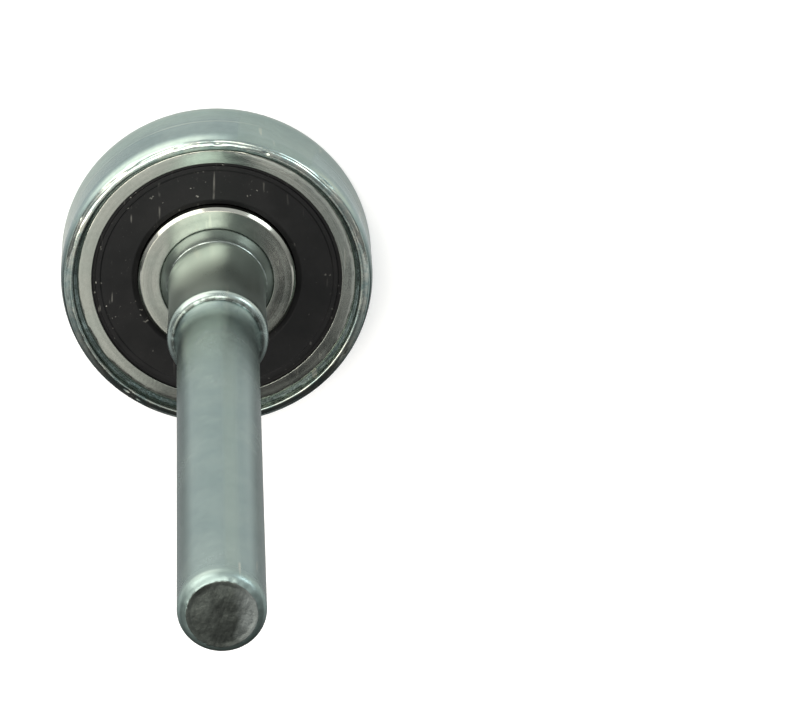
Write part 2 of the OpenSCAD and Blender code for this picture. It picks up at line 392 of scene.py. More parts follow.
# %% Group: marks round the axis
def make_turning_marks():
    """Fine lines round the axis: noise at the point (lines r, lines z, 0) plus a little of x and
    y, so that a line slowly fades into the next one on its way round."""
    group, given, out = new_group(
        "turning_marks", {"Lines": 4000.0, "Drift": 40.0}, {"Height": "Float", "Streak": "Float"})
    where = place(group, "ShaderNodeTexCoord").outputs["Object"]
    apart = place(group, "ShaderNodeSeparateXYZ")
    group.links.new(where, apart.inputs[0])
    x, y, z = apart.outputs
    square = number_of(group, "ADD", number_of(group, "MULTIPLY", x, x),
                       number_of(group, "MULTIPLY", y, y))
    radius = number_of(group, "SQRT", square)
    path = place(group, "ShaderNodeCombineXYZ")
    for socket, value in zip(path.inputs, (radius, z)):
        group.links.new(number_of(group, "MULTIPLY", value, given["Lines"]), socket)
    group.links.new(number_of(group, "MULTIPLY", number_of(group, "ADD", x, y), given["Drift"]),
                    path.inputs[2])
    sideways = place(group, "ShaderNodeCombineXYZ")
    for socket, value in zip(sideways.inputs, (x, y)):
        group.links.new(number_of(group, "MULTIPLY", value, given["Drift"]), socket)
    total = place(group, "ShaderNodeVectorMath", operation="ADD")
    group.links.new(path.outputs[0], total.inputs[0])
    group.links.new(sideways.outputs[0], total.inputs[1])
    fine = noise(group, total.outputs[0], 1.0, 3.0, 0.6)
    broad = noise(group, total.outputs[0], 0.22, 2.0)
    group.links.new(fine, out["Height"])
    group.links.new(ramp(group, broad, 0.35, 0.65), out["Streak"])
    return group


# %% Group: scratches
def make_scratches():
    """Short straight scratches in two directions: noise that is stretched along a line, where it
    passes a threshold, broken up by a second noise."""
    group, given, out = new_group(
        "scratches", {"Size": 900.0, "Amount": 0.5}, {"Mask": "Float"})
    where = place(group, "ShaderNodeTexCoord").outputs["Object"]
    limit = ramp(group, given["Amount"], 0.0, 1.0, (0.8, 0.6), smooth=False)
    limit_end = number_of(group, "ADD", limit, 0.04)
    masks = []
    for turn in ((0.3, 0.5, 0.7), (0.9, -0.4, 2.2)):
        turned_to = place(group, "ShaderNodeMapping", vector_type="POINT")
        turned_to.inputs["Rotation"].default_value = turn
        turned_to.inputs["Scale"].default_value = (1.0, 0.07, 0.07)
        group.links.new(where, turned_to.inputs["Vector"])
        lines = noise(group, turned_to.outputs[0], given["Size"], 1.0)
        broken = noise(group, where, number_of(group, "MULTIPLY", given["Size"], 0.3), 1.0)
        shown = number_of(group, "MULTIPLY", ramp(group, lines, limit, limit_end),
                          ramp(group, broken, 0.5, 0.6))
        masks.append(shown)
    group.links.new(number_of(group, "MAXIMUM", *masks), out["Mask"])
    return group


# %% Group: dust and flecks
def make_dust():
    """Ragged flecks: the peaks of a fine noise, only where a slower noise gathers them."""
    group, given, out = new_group("dust", {"Size": 2600.0, "Limit": 0.70}, {"Mask": "Float"})
    where = place(group, "ShaderNodeTexCoord").outputs["Object"]
    fine = noise(group, where, given["Size"], 2.0, 0.55)
    fleck = ramp(group, fine, given["Limit"], number_of(group, "ADD", given["Limit"], 0.04))
    slow = noise(group, where, number_of(group, "MULTIPLY", given["Size"], 0.16))
    group.links.new(number_of(group, "MULTIPLY", fleck, ramp(group, slow, 0.46, 0.6)), out["Mask"])
    return group


clouds = make_clouds()
turning_marks = make_turning_marks()
scratches = make_scratches()
dust = make_dust()
print("groups:", ", ".join(g.name for g in (clouds, turning_marks, scratches, dust)))

# %% [markdown]
# ## Finishes
#
# All the steel is the same cool, slightly green grey, and what tells the pieces apart is how they
# were worked: the drawn stem is smooth and satin, the tyre shows faint rings and rubbed lips, and
# the bearing's rings are ground. Metal has no colour of its own apart from the tint of what it
# mirrors, so Metallic is 1 and the tint is the base colour. Roughness and a small Bump spread the
# mirror image as the real surface does.

# %% Material helper
def new_material(name, **constants):
    """A material with one Principled shader; the constants go straight onto its sockets."""
    material = bpy.data.materials.new(name)
    material.use_nodes = True
    tree = material.node_tree
    shader = tree.nodes["Principled BSDF"]
    for key, value in constants.items():
        shader.inputs[key.replace("_", " ")].default_value = value
    return material, tree, shader


def use(tree, group, **values):
    """One of the node groups, with its own values; returns its outputs by name."""
    node = tree.nodes.new("ShaderNodeGroup")
    node.node_tree = group
    for key, value in values.items():
        node.inputs[key.replace("_", " ")].default_value = value
    return node.outputs


def mask_of(tree, key):
    """The number that the lathe gave the mesh under this name."""
    return place(tree, "ShaderNodeAttribute", attribute_name=key).outputs["Fac"]


def bumped(tree, shader, height, depth):
    """Feeds a Bump of that depth in millimetres into the shader's normal."""
    node = place(tree, "ShaderNodeBump", Strength=1.0, Distance=depth * MM)
    tree.links.new(height, node.inputs["Height"])
    tree.links.new(node.outputs[0], shader.inputs["Normal"])


def summed(tree, *terms):
    """The sum of pairs (socket, factor)."""
    total = 0.0
    for socket, factor in terms:
        total = number_of(tree, "MULTIPLY_ADD", socket, factor, total)
    return total


ZINC = (0.230, 0.300, 0.286, 1)
ZINC_PALE = (0.270, 0.340, 0.320, 1)
GROUND = (0.350, 0.372, 0.335, 1)
GROUND_PALE = (0.395, 0.405, 0.365, 1)
GROUND_DEEP = (0.285, 0.310, 0.280, 1)
# painted shade: the near-black laid in creases, gaps and hollows where shade falls, broken up by
# grime
SHADE_AND_GRIME_DARK = (0.040, 0.042, 0.036, 1)
# rubbed wear on the stem and the tyre, and a painted highlight along the rings' edges
WEAR_AND_GLINT_PALE = (0.520, 0.520, 0.455, 1)
EDGE_TINT = (0.76, 0.79, 0.79, 1)
SHEARED = (0.034, 0.038, 0.035, 1)
SHEARED_PALE = (0.090, 0.101, 0.092, 1)
# painted reflection: the lighter grey of one side of the torn end face
SHEARED_PAINTED_LIGHT = (0.180, 0.200, 0.195, 1)
# painted light: the paler grey of the neck, where it stands in for reflected light
NECK_PAINTED_LIGHT = (0.390, 0.440, 0.410, 1)
RUBBER = (0.0045, 0.0048, 0.0052, 1)
RUBBER_PALE = (0.0075, 0.0076, 0.0080, 1)
FLECK = (0.42, 0.42, 0.38, 1)
# the roughness of each finish before its clouds and marks change it
STEM_ROUGH, TYRE_ROUGH, RING_ROUGH, RUBBER_ROUGH = 0.19, 0.18, 0.10, 0.42
# name: colour, second colour, roughness before its clouds, turning marks in a metre
INNER_STEELS = {
    "ball_steel": ((0.55, 0.56, 0.56, 1), (0.62, 0.62, 0.61, 1), 0.06, 2000),
    "cage_steel": ((0.42, 0.42, 0.40, 1), (0.33, 0.34, 0.33, 1), 0.30, 4000),
    "rivet_steel": ((0.48, 0.48, 0.46, 1), (0.40, 0.41, 0.40, 1), 0.26, 4000),
}


# %% Stem steel
def make_stem_steel():
    """Satin zinc with faint clouds; the sheared end is bare, dark and torn."""
    material, tree, shader = new_material("stem_steel", Metallic=1.0, Specular_Tint=EDGE_TINT)
    link = tree.links.new
    where = place(tree, "ShaderNodeTexCoord").outputs["Object"]
    zinc = use(tree, clouds, Colour=ZINC, Other_Colour=ZINC_PALE, Cloud_Scale=120.0, Depth=0.22)
    torn = use(tree, clouds, Colour=SHEARED, Other_Colour=SHEARED_PALE, Cloud_Scale=230.0,
               Depth=1.0)
    cut, recess_shade, painted_neck_light, painted_bright_side, broken = (mask_of(tree, key) for key in (
        "cut", "recess_shade", "painted_neck_light", "painted_bright_side", "broken"))
    marks = use(tree, turning_marks, Lines=3500.0, Drift=90.0)
    rub = use(tree, scratches, Size=700.0, Amount=0.30)["Mask"]
    grain = noise(tree, where, 9000.0, 2.0, 0.6)
    # painted shade in the creases above the shoulder and at the bead's root, broken up by noise
    patchy_recess_shade = number_of(tree, "MULTIPLY", recess_shade, ramp(tree, noise(tree, where, 900.0), 0.3, 0.6))
    steel = blended(tree, number_of(tree, "MULTIPLY", rub, 0.5), zinc["Color"], WEAR_AND_GLINT_PALE)
    # painted light: the neck and half the bead are made paler
    steel = blended(tree, number_of(tree, "MULTIPLY", painted_neck_light, 0.7), steel, NECK_PAINTED_LIGHT)
    # painted reflection: the torn end face is lighter on its -X side
    sheared = blended(tree, painted_bright_side, torn["Color"], SHEARED_PAINTED_LIGHT)
    steel = blended(tree, cut, steel, sheared)
    steel = blended(tree, patchy_recess_shade, steel, SHADE_AND_GRIME_DARK)
    link(steel, shader.inputs["Base Color"])
    rough = summed(tree, (zinc["Cloud"], 0.05), (cut, 0.10), (grain, 0.06), (painted_neck_light, 0.06),
                   (broken, 0.16))
    link(number_of(tree, "ADD", rough, STEM_ROUGH), shader.inputs["Roughness"])
    coarse = noise(tree, where, 2200.0, 4.0, 0.7)
    height = summed(tree, (grain, 0.25), (marks["Height"], 0.20), (rub, -0.3),
                    (number_of(tree, "MULTIPLY", coarse, cut), 5.0))
    bumped(tree, shader, height, 0.012)
    return material


# %% Tyre steel
def make_tyre_steel():
    """The same zinc, rubbed bright on the lips' crests, with painted shade and grime in the hollows
    inside the lips and a thin witness line round the tread."""
    material, tree, shader = new_material("tyre_steel", Metallic=1.0, Specular_Tint=EDGE_TINT)
    link = tree.links.new
    where = place(tree, "ShaderNodeTexCoord").outputs["Object"]
    zinc = use(tree, clouds, Colour=ZINC, Other_Colour=ZINC_PALE, Cloud_Scale=150.0, Depth=0.26)
    crest, recess_shade, witness = (mask_of(tree, key) for key in ("crest", "recess_shade", "witness"))
    marks = use(tree, turning_marks, Lines=3000.0, Drift=60.0)
    rub = use(tree, scratches, Size=800.0, Amount=0.45)["Mask"]
    patch = ramp(tree, noise(tree, where, 420.0, 3.0), 0.40, 0.62)
    grime = ramp(tree, noise(tree, where, 1300.0, 3.0, 0.65), 0.38, 0.60)
    bright = number_of(tree, "MULTIPLY", crest, summed(tree, (patch, 0.55), (grime, 0.35)))
    # painted shade in the hollow inside each lip, broken up by grime
    grime_and_shade = number_of(tree, "MULTIPLY", recess_shade, summed(tree, (grime, 0.75), (patch, 0.25)))
    steel = blended(tree, bright, zinc["Color"], WEAR_AND_GLINT_PALE)
    steel = blended(tree, number_of(tree, "MAXIMUM", number_of(tree, "MULTIPLY", rub, 0.6),
                                    number_of(tree, "MULTIPLY", witness, 0.75)), steel, WEAR_AND_GLINT_PALE)
    steel = blended(tree, grime_and_shade, steel, SHADE_AND_GRIME_DARK)
    link(steel, shader.inputs["Base Color"])
    rough = summed(tree, (zinc["Cloud"], 0.05), (grime_and_shade, 0.22), (bright, -0.06), (rub, 0.05))
    link(number_of(tree, "ADD", rough, TYRE_ROUGH), shader.inputs["Roughness"])
    coarse = noise(tree, where, 2600.0, 3.0, 0.6)
    height = summed(tree, (marks["Height"], 0.22), (rub, -0.5), (witness, 0.6),
                    (number_of(tree, "MULTIPLY", coarse, recess_shade), 2.2),
                    (number_of(tree, "MULTIPLY", coarse, crest), 1.0))
    bumped(tree, shader, height, 0.014)
    return material


# %% Ring steel
def make_ring_steel():
    """Ground bearing rings: fine lines round the axis and some handling scratches."""
    material, tree, shader = new_material("ring_steel", Metallic=1.0)
    link = tree.links.new
    where = place(tree, "ShaderNodeTexCoord").outputs["Object"]
    zinc = use(tree, clouds, Colour=GROUND, Other_Colour=GROUND_PALE, Cloud_Scale=260.0, Depth=0.30)
    edge, recess_shade = mask_of(tree, "edge"), mask_of(tree, "recess_shade")
    marks = use(tree, turning_marks, Lines=5200.0, Drift=120.0)
    rub = use(tree, scratches, Size=1000.0, Amount=0.55)["Mask"]
    grime = ramp(tree, noise(tree, where, 1500.0, 3.0), 0.35, 0.60)
    # painted highlight along the rings' edges, and rubbed scratches
    bright = number_of(tree, "MAXIMUM", number_of(tree, "MULTIPLY", edge, 0.55),
                       number_of(tree, "MULTIPLY", rub, 0.55))
    # painted shade at the mouth of the seal's groove and round the bore, broken up by grime
    grime_and_shade = number_of(tree, "MULTIPLY", recess_shade, summed(tree, (grime, 0.6)))
    streaked = blended(tree, number_of(tree, "MULTIPLY", marks["Streak"], 0.35),
                       zinc["Color"], GROUND_DEEP)
    steel = blended(tree, bright, streaked, WEAR_AND_GLINT_PALE)
    steel = blended(tree, grime_and_shade, steel, SHADE_AND_GRIME_DARK)
    link(steel, shader.inputs["Base Color"])
    rough = summed(tree, (marks["Streak"], 0.06), (grime_and_shade, 0.2), (zinc["Cloud"], 0.04))
    link(number_of(tree, "ADD", rough, RING_ROUGH), shader.inputs["Roughness"])
    height = summed(tree, (marks["Height"], 0.8), (rub, -0.5),
                    (noise(tree, where, 3000.0, 2.0), 0.3))
    bumped(tree, shader, height, 0.006)
    return material


# %% Seal rubber
def make_seal_rubber():
    """Moulded black rubber, a little greasy, with ragged flecks and grey scuffs on one side: dust,
    and in part painted glints.
    """
    material, tree, shader = new_material("seal_rubber", Metallic=0.0, Specular_IOR_Level=0.25)
    link = tree.links.new
    where = place(tree, "ShaderNodeTexCoord").outputs["Object"]
    black = use(tree, clouds, Colour=RUBBER, Other_Colour=RUBBER_PALE, Cloud_Scale=220.0,
                Depth=0.6)
    dust_and_glint_side = mask_of(tree, "dust_and_glint_side")
    flecks = use(tree, dust, Size=1500.0, Limit=0.68)["Mask"]
    lint = use(tree, dust, Size=5200.0, Limit=0.70)["Mask"]
    scuff = use(tree, scratches, Size=1500.0, Amount=0.50)["Mask"]
    marks = number_of(tree, "MAXIMUM", number_of(tree, "MULTIPLY", flecks, 0.75),
                      number_of(tree, "MAXIMUM", number_of(tree, "MULTIPLY", scuff, 0.20),
                                number_of(tree, "MULTIPLY", lint, 0.20)))
    # dust, and in part painted glints: the flecks and scuffs show mostly on the side towards the
    # left window
    pale = number_of(tree, "MULTIPLY", marks, dust_and_glint_side)
    link(blended(tree, pale, black["Color"], FLECK), shader.inputs["Base Color"])
    rough = summed(tree, (black["Cloud"], 0.12), (pale, 0.3))
    link(number_of(tree, "ADD", rough, RUBBER_ROUGH), shader.inputs["Roughness"])
    skin = noise(tree, where, 5000.0, 3.0, 0.6)
    height = summed(tree, (skin, 0.5), (flecks, 1.2), (scuff, -0.8))
    bumped(tree, shader, height, 0.012)
    return material


# %% Inner pieces
def make_inner_steel(name, colour, other, rough, lines):
    """Clean steel with a film of lubricant, for what is inside the bearing: balls, cage and rivets.
    """
    material, tree, shader = new_material(name, Metallic=1.0)
    shade = use(tree, clouds, Colour=colour, Other_Colour=other, Cloud_Scale=500.0, Depth=0.15)
    marks = use(tree, turning_marks, Lines=lines, Drift=100.0)
    tree.links.new(shade["Color"], shader.inputs["Base Color"])
    tree.links.new(number_of(tree, "MULTIPLY_ADD", shade["Cloud"], 0.06, rough),
                   shader.inputs["Roughness"])
    bumped(tree, shader, marks["Height"], 0.003)
    return material


stem_steel = make_stem_steel()
tyre_steel = make_tyre_steel()
ring_steel = make_ring_steel()
seal_rubber = make_seal_rubber()
inner_steels = {name: make_inner_steel(name, *values) for name, values in INNER_STEELS.items()}
print("finishes:", ", ".join(m.name for m in bpy.data.materials))

# %% [markdown]
# ## Stem
#
# The stem is one cold-formed pin. From the rear: a head peened over the bearing's inner ring, the
# seat inside the ring, a tapered shoulder, a hollow neck, a bead that stops the stem against its
# bracket, and the plain rod with a rounded tip. The rod was cropped from wire, so its end is a
# torn, dark face inside a bright rounded edge. The outline follows the solid; the relief adds the
# burr on the shoulder's edge, the torn face and the marks of the peening tool.

# %% Stem outline
STEM_STEPS = 288
ROD_R = 5
BORE_R = 7
BORE_CHAMFER = 0.15
SHOULDER_UP = 2.55          # the shoulder's front edge above the bearing's face
SHOULDER_R = 6.36
SHOULDER_ROUND = 0.25
NECK_WAIST = (6.0, 4.5)     # radius, and height above the bearing's face
BEAD_C, BEAD_ROUND, BEAD_UP = 5.3, 0.9, 18.2
BEAD_TURN = 85              # degrees at which the bead's section ends at its root
ROOT_REACH = 4
TIP_ROUND = 1.5
TIP_BREAK = 68
DIMPLE_R, DIMPLE_DEEP = 2.5, 0.15

rear_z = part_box("inner_ring")[0].z / MM
front_z = top("inner_ring")
head_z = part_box("stem")[0].z / MM
head_r = half_across("stem")


def flare(waist, end, count):
    """A curve that leaves the waist upright and bends out to the end: the radius grows with the
    square of the distance from the waist."""
    t = np.linspace(0, 1, count)
    return np.column_stack([waist[0] + (end[0] - waist[0]) * t * t,
                            waist[1] + (end[1] - waist[1]) * t])


def stem_outline():
    """The pin from the middle of its rear head to the middle of its tip."""
    waist = (NECK_WAIST[0], face_z + NECK_WAIST[1])
    bead_z = face_z + BEAD_UP
    lead = np.degrees(np.arctan(2 * (BEAD_C + BEAD_ROUND - waist[0]) / (bead_z - waist[1])))
    bead_start = (BEAD_C + BEAD_ROUND * np.cos(np.radians(lead)),
                  bead_z - BEAD_ROUND * np.sin(np.radians(lead)))
    broken = np.radians(TIP_BREAK)
    tip_c = (ROD_R - TIP_ROUND, tip_z - TIP_ROUND * np.sin(broken))
    head = softened(
        [(0, head_z + DIMPLE_DEEP), (DIMPLE_R / 2, head_z + DIMPLE_DEEP), (DIMPLE_R, head_z),
         (head_r, head_z), (head_r, rear_z), (BORE_R + BORE_CHAMFER, rear_z),
         (BORE_R, rear_z + BORE_CHAMFER), (BORE_R, front_z)],
        [0, 0.6, 0.5, 0.44, 0, 0, 0, 0], closed=False)
    edge = arc((SHOULDER_R - SHOULDER_ROUND, face_z + SHOULDER_UP - 0.05), SHOULDER_ROUND, 5, 66, 8)
    neck = flare(waist, (edge[-1][0] - 0.04, edge[-1][1] + 0.06), 22)[::-1]
    bead = arc((BEAD_C, bead_z), BEAD_ROUND, -lead, BEAD_TURN, 20)
    rod_z = bead[-1][1] + ROOT_REACH
    root = flare((ROD_R, rod_z), bead[-1], 24)[::-1]
    tip = arc(tip_c, TIP_ROUND, 0, TIP_BREAK, 18)
    face = np.column_stack([np.linspace(tip[-1][0], 0, 44)[1:], np.full(43, tip_z)])
    return np.concatenate([head, edge, neck, flare(waist, bead_start, 20)[1:-1], bead,
                           root[1:], tip, face]), tip[-1][0], rod_z


outline, cut_r, rod_z = stem_outline()
print("stem outline:", len(outline), "points, plain rod from", round(rod_z, 2), "mm")


# %% Stem
def stem_relief(r, z, a):
    """Torn face at the tip, uneven edge round it, burr on the shoulder, tool marks on the head."""
    x, y = r * np.cos(a), r * np.sin(a)
    at_tip = (z > tip_z - 0.01) * between(r, -1, cut_r - 0.35, 0.5)
    torn = lumps(x, y, 0.8, 11) * 0.35 + lumps(x, y, 0.3, 12, 50) * 0.2
    lip = near(z, tip_z - 0.1, 0.25) * between(r, cut_r - 0.1, 99, 0.4)
    shoulder = near(z, face_z + SHOULDER_UP + 0.05, 0.14) * (r > SHOULDER_R - 0.5)
    head = (z < head_z + 0.3) * between(r, -1, head_r - 0.6, 1.0)
    return (-0.10 * at_tip * (1 + torn) - 0.04 * lip * (1 + ripple(a, 2, 30, 13))
            - 0.035 * shoulder * (1 + ripple(a, 5, 60, 14))
            - 0.03 * head * (1 + lumps(x, y, 1.0, 15)))


def painted_neck_light(r, z, a):
    """Painted light on the neck, from the bearing's bore to the bead, and half as much over the
    bead.
    """
    return (between(z, face_z - 0.5, face_z + BEAD_UP + 1, 0.4) * between(r, ROD_R + 0.3, 99, 0.2)
            * (1 - 0.5 * between(z, face_z + BEAD_UP - 0.7, 999, 0.5)))


stem = turned("stem_pin", refined(outline, 1.2, closed=False), STEM_STEPS, False, stem_relief, {
    "cut": lambda r, z, a: (z > tip_z - 0.06) * between(
        r, -1, cut_r - 0.02 + 0.08 * ripple(a, 2, 40, 16), 0.05),
    "painted_neck_light": painted_neck_light,
    "broken": lambda r, z, a: between(z, tip_z - 1.5, 999, 0.4),
    # painted reflection: 1 on the -X side of the torn end face, with a ragged border
    "painted_bright_side": lambda r, z, a: (z > tip_z - 0.5) * between(
        -r * np.cos(a) + 0.8 * lumps(r * np.cos(a), r * np.sin(a), 1.2, 18), 2.2, 99, 2.0),
    # painted shade: dark lines in the crease above the shoulder and at the bead's root
    "recess_shade": lambda r, z, a: np.maximum(
        near(z, face_z + SHOULDER_UP + 0.16, 0.07) * 0.6 * (ripple(a, 3, 40, 17) > -0.2),
        near(z, rod_z - ROOT_REACH, 0.14) * 0.8) * (z < tip_z - 1)})
stem.data.materials.append(stem_steel)
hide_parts("stem")
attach(stem, "stem")

# %% [markdown]
# ## Tyre
#
# The tyre is a steel ring whose edges were rolled in over the bearing. Rolling leaves crests that
# are never quite even, with nicks and lapped folds on their inner side, and a thin witness line
# where the two forming rolls met on the tread. All of that is relief on the turned surface: a few
# ripples for the crest, a lumpy field for the inner wall and single dents for the nicks.

# %% Tyre
TYRE_STEPS = 448
TREAD_ROUND, TREAD_ANGLE = 6.4, 15
LIP_ROUND = 0.3
HOLLOW_ROUND, HOLLOW_ANGLE = 0.9, 60
RING_CHAMFER = 0.25
CROWN_ARC = 0.02        # millimetres along the crown in one degree up it
NICK_WIDE = 0.16
REAR_TURN = 37          # degrees that turn the rear's nicks, so that they don't repeat the front's
# degrees round from the camera's side, degrees up the crown, depth, length
NICKS = ((-1, 62, 0.10, 0.35), (-20, 75, 0.12, 0.30), (14, 55, 0.08, 0.30), (33, 40, 0.07, 0.5),
         (62, 50, 0.10, 0.4), (-47, 38, 0.12, 0.9), (-71, 60, 0.08, 0.4), (-104, 48, 0.10, 0.5),
         (-122, 66, 0.12, 0.7), (96, 66, 0.10, 0.4), (147, 58, 0.22, 0.8), (152, 36, 0.18, 0.7),
         (141, 76, 0.16, 0.5), (170, 60, 0.10, 0.6))

ring_r = half_across("outer_ring")
tread_r = half_across("tyre")
tyre_top = top("tyre")
mid_z = tyre_top / 2
ring_half = face_z - mid_z


def both_sides(half):
    """An outline above the middle plane, given as (r, height above it), and its mirror image."""
    half = np.array(half, float)
    return np.concatenate([half, half[::-1] * (1, -1)]) + (0, mid_z)


def tyre_outline():
    """Half the tread, its shoulder, the rounded crown, the crest's inner side and the hollow."""
    stake = ring_r - RING_CHAMFER / 2, ring_half - RING_CHAMFER / 2
    turn, lean = np.radians(HOLLOW_ANGLE), np.radians(TREAD_ANGLE)
    hollow = stake[0] - HOLLOW_ROUND * np.cos(turn), stake[1] + HOLLOW_ROUND * np.sin(turn)
    crest_r = hollow[0] + HOLLOW_ROUND + LIP_ROUND
    crown = (tread_r - TREAD_ROUND * (1 - np.cos(lean)) - crest_r) / np.cos(lean)
    tread_half = mid_z - crown * (1 - np.sin(lean)) - TREAD_ROUND * np.sin(lean)
    tread = np.column_stack([np.full(4, tread_r), (0.05, 0.12, 0.2, 0.35)])
    return both_sides(np.concatenate([
        tread, arc((tread_r - TREAD_ROUND, tread_half), TREAD_ROUND, 0, TREAD_ANGLE, 8),
        arc((crest_r, mid_z - crown), crown, TREAD_ANGLE, 90, 26)[1:],
        arc((crest_r, mid_z - LIP_ROUND), LIP_ROUND, 90, 180, 10)[1:],
        arc(hollow, HOLLOW_ROUND, 0, -HOLLOW_ANGLE, 12),
        [(ring_r, ring_half - RING_CHAMFER)]])), crest_r, crown


tyre_points, crest_r, crown = tyre_outline()
print("crown's radius:", round(crown, 3), "mm, crest at", round(crest_r, 3), "mm")


def up_the_crown(r, z):
    """The angle of a point round the middle of the crown's arc, in degrees above the horizontal."""
    return np.degrees(np.arctan2(np.abs(z - mid_z) - (mid_z - crown), r - crest_r))


def tyre_relief(r, z, a):
    """A crease and nicks on both crowns, folds on the inner walls, a fine line on the tread."""
    total = 0.02 * near(z, mid_z, 0.07) * (r > ring_r + 1.5) * (0.5 + 0.5 * ripple(a, 2, 24, 21))
    for sign, seed in ((1, 30), (-1, 40)):
        side = (sign * (z - mid_z) > 0) * (r > ring_r - 0.2)
        up = up_the_crown(r, z)
        on_crown = side * between(up, 18, 100, 12)
        path = 50 + 9 * ripple(a, 1, 14, seed)
        in_wall = side * (up > 90) * between(
            sign * (z - mid_z), ring_half + 0.05, mid_z - 0.15, 0.2)
        total = total - 0.045 * on_crown * near(up, path, 5) * (1 + ripple(a, 3, 60, seed + 1))
        along = up * CROWN_ARC
        total = total - 0.022 * on_crown * (1 + mottle(along, a, 70, 1.0, seed + 2, 40))
        total = total - 0.035 * in_wall * (1 + ripple(a, 20, 150, seed + 3))
        total = total - 0.030 * in_wall * (1 + mottle(z, a, 40, 0.8, seed + 4, 40))
        for degrees, height, deep, long in NICKS:
            spot = bump(along, a, height * CROWN_ARC,
                        degrees - 90 if sign > 0 else REAR_TURN - degrees, NICK_WIDE, long, crest_r)
            total = total - deep * spot * side * (up < 100)
    return total


def upper_lip(r, z):
    """1 on both rolled crowns and crests."""
    return between(up_the_crown(r, z), 42, 135, 14) * (r > ring_r + 0.25)


tyre = turned("rolled_tyre", refined(tyre_points, 0.35, closed=True), TYRE_STEPS, True,
              tyre_relief, {
    "crest": lambda r, z, a: upper_lip(r, z) * (0.75 + 0.25 * ripple(a, 2, 30, 51)),
    # painted shade: a dark band in the hollow between the lip and the bearing's face
    "recess_shade": lambda r, z, a: (r > ring_r - 0.2) * (r < crest_r) * near(
        np.abs(z - mid_z), ring_half + 0.06, 0.16) * (0.7 + 0.3 * ripple(a, 3, 60, 52)),
    "witness": lambda r, z, a: near(z, mid_z, 0.09) * (r > ring_r + 1.5)
    * np.clip(0.35 + 0.8 * ripple(a, 1, 12, 53), 0, 1)})
tyre.data.materials.append(tyre_steel)
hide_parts("tyre")
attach(tyre, "wheel")

# %% [markdown]
# ## Bearing rings
#
# The outer and the inner ring are turned and ground. What shows of them is two flat faces with
# broken edges. A sharp edge on a metal part always catches a line of light because it is in truth
# a tiny round, so every visible corner here has a radius.

# %% Bearing rings
RING_STEPS = 320
MOUTH_DEEP, GROOVE_DEEP = 0.3, 0.28
SEAL_SEAT = 1.0
SEAL_BACK_PLAY = 0.35
LAND_STEP = 1.25
RACEWAY_EASE, RACEWAY_DEEP, BALL_PLAY = 0.095, 0.76, 0.03
INNER_CHAMFER = 0.4

ball_low, ball_high = (np.array(corner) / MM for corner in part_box("ball_1"))
ball_r = (ball_high[2] - ball_low[2]) / 2
pitch_r = (ball_high[0] + ball_low[0]) / 2
raceway_r = ball_r + RACEWAY_EASE
groove_r = half_across("front_seal")
mouth_r = groove_r - GROOVE_DEEP
seal_floor = ring_half - SEAL_SEAT
groove_top = ring_half - MOUTH_DEEP
inner_half = front_z - mid_z
inner_land = half_across("inner_ring")
seal_land = inner_land - LAND_STEP


def raceway(deepest, sign):
    """The upper half of a ball groove whose section is a circle through (deepest, 0). It runs from
    the middle plane to the land, or back when it is reversed."""
    reach = np.degrees(np.arccos(1 - RACEWAY_DEEP / raceway_r))
    return arc((deepest - sign * raceway_r, 0), raceway_r, *((0, reach) if sign > 0
                                                             else (180, 180 - reach)), 10)


outer_groove = raceway(pitch_r + ball_r + BALL_PLAY, 1)
inner_groove = raceway(pitch_r - ball_r - BALL_PLAY, -1)
outer_land = outer_groove[-1][0]


def ring_relief(r, z, a):
    """A ground face is flat to a few hundredths, with small nicks along its edge."""
    height = np.abs(z - mid_z)
    on_edge = near(height, ring_half, 0.12) * near(r, ring_r - RING_CHAMFER, 0.12)
    return -0.02 * on_edge * (1 + ripple(a, 8, 90, 61)) - 0.006 * (1 + ripple(a, 2, 9, 62)) * (
        height > ring_half - 0.05)


outer_half = [
    (ring_r, 0.5), (ring_r, ring_half - RING_CHAMFER), (ring_r - RING_CHAMFER, ring_half),
    (mouth_r, ring_half), (mouth_r, groove_top), (groove_r, groove_top - GROOVE_DEEP),
    (groove_r, seal_floor), (outer_land, seal_floor), *outer_groove[::-1][:-1]]
outer_round = [0, 0, 0.10, 0.07] + [0] * (len(outer_half) - 4)
outer_ring = turned(
    "outer_bearing_ring",
    refined(softened(both_sides(outer_half), outer_round + outer_round[::-1], True), 0.25, True),
    RING_STEPS, True, ring_relief, {
        # painted highlight along the outer ring's chamfer
        "edge": lambda r, z, a: near(r, ring_r - RING_CHAMFER, 0.08) * (
            0.7 + 0.3 * ripple(a, 3, 40, 63)),
        # painted shade in the gap between the outer ring and the seal
        "recess_shade": lambda r, z, a: near(r, mouth_r, 0.06) * 0.5})


def inner_relief(r, z, a):
    """The inner ring's ends are ground as flat."""
    return -0.004 * (1 + ripple(a, 2, 9, 64)) * (np.abs(z - mid_z) > inner_half - 0.05)


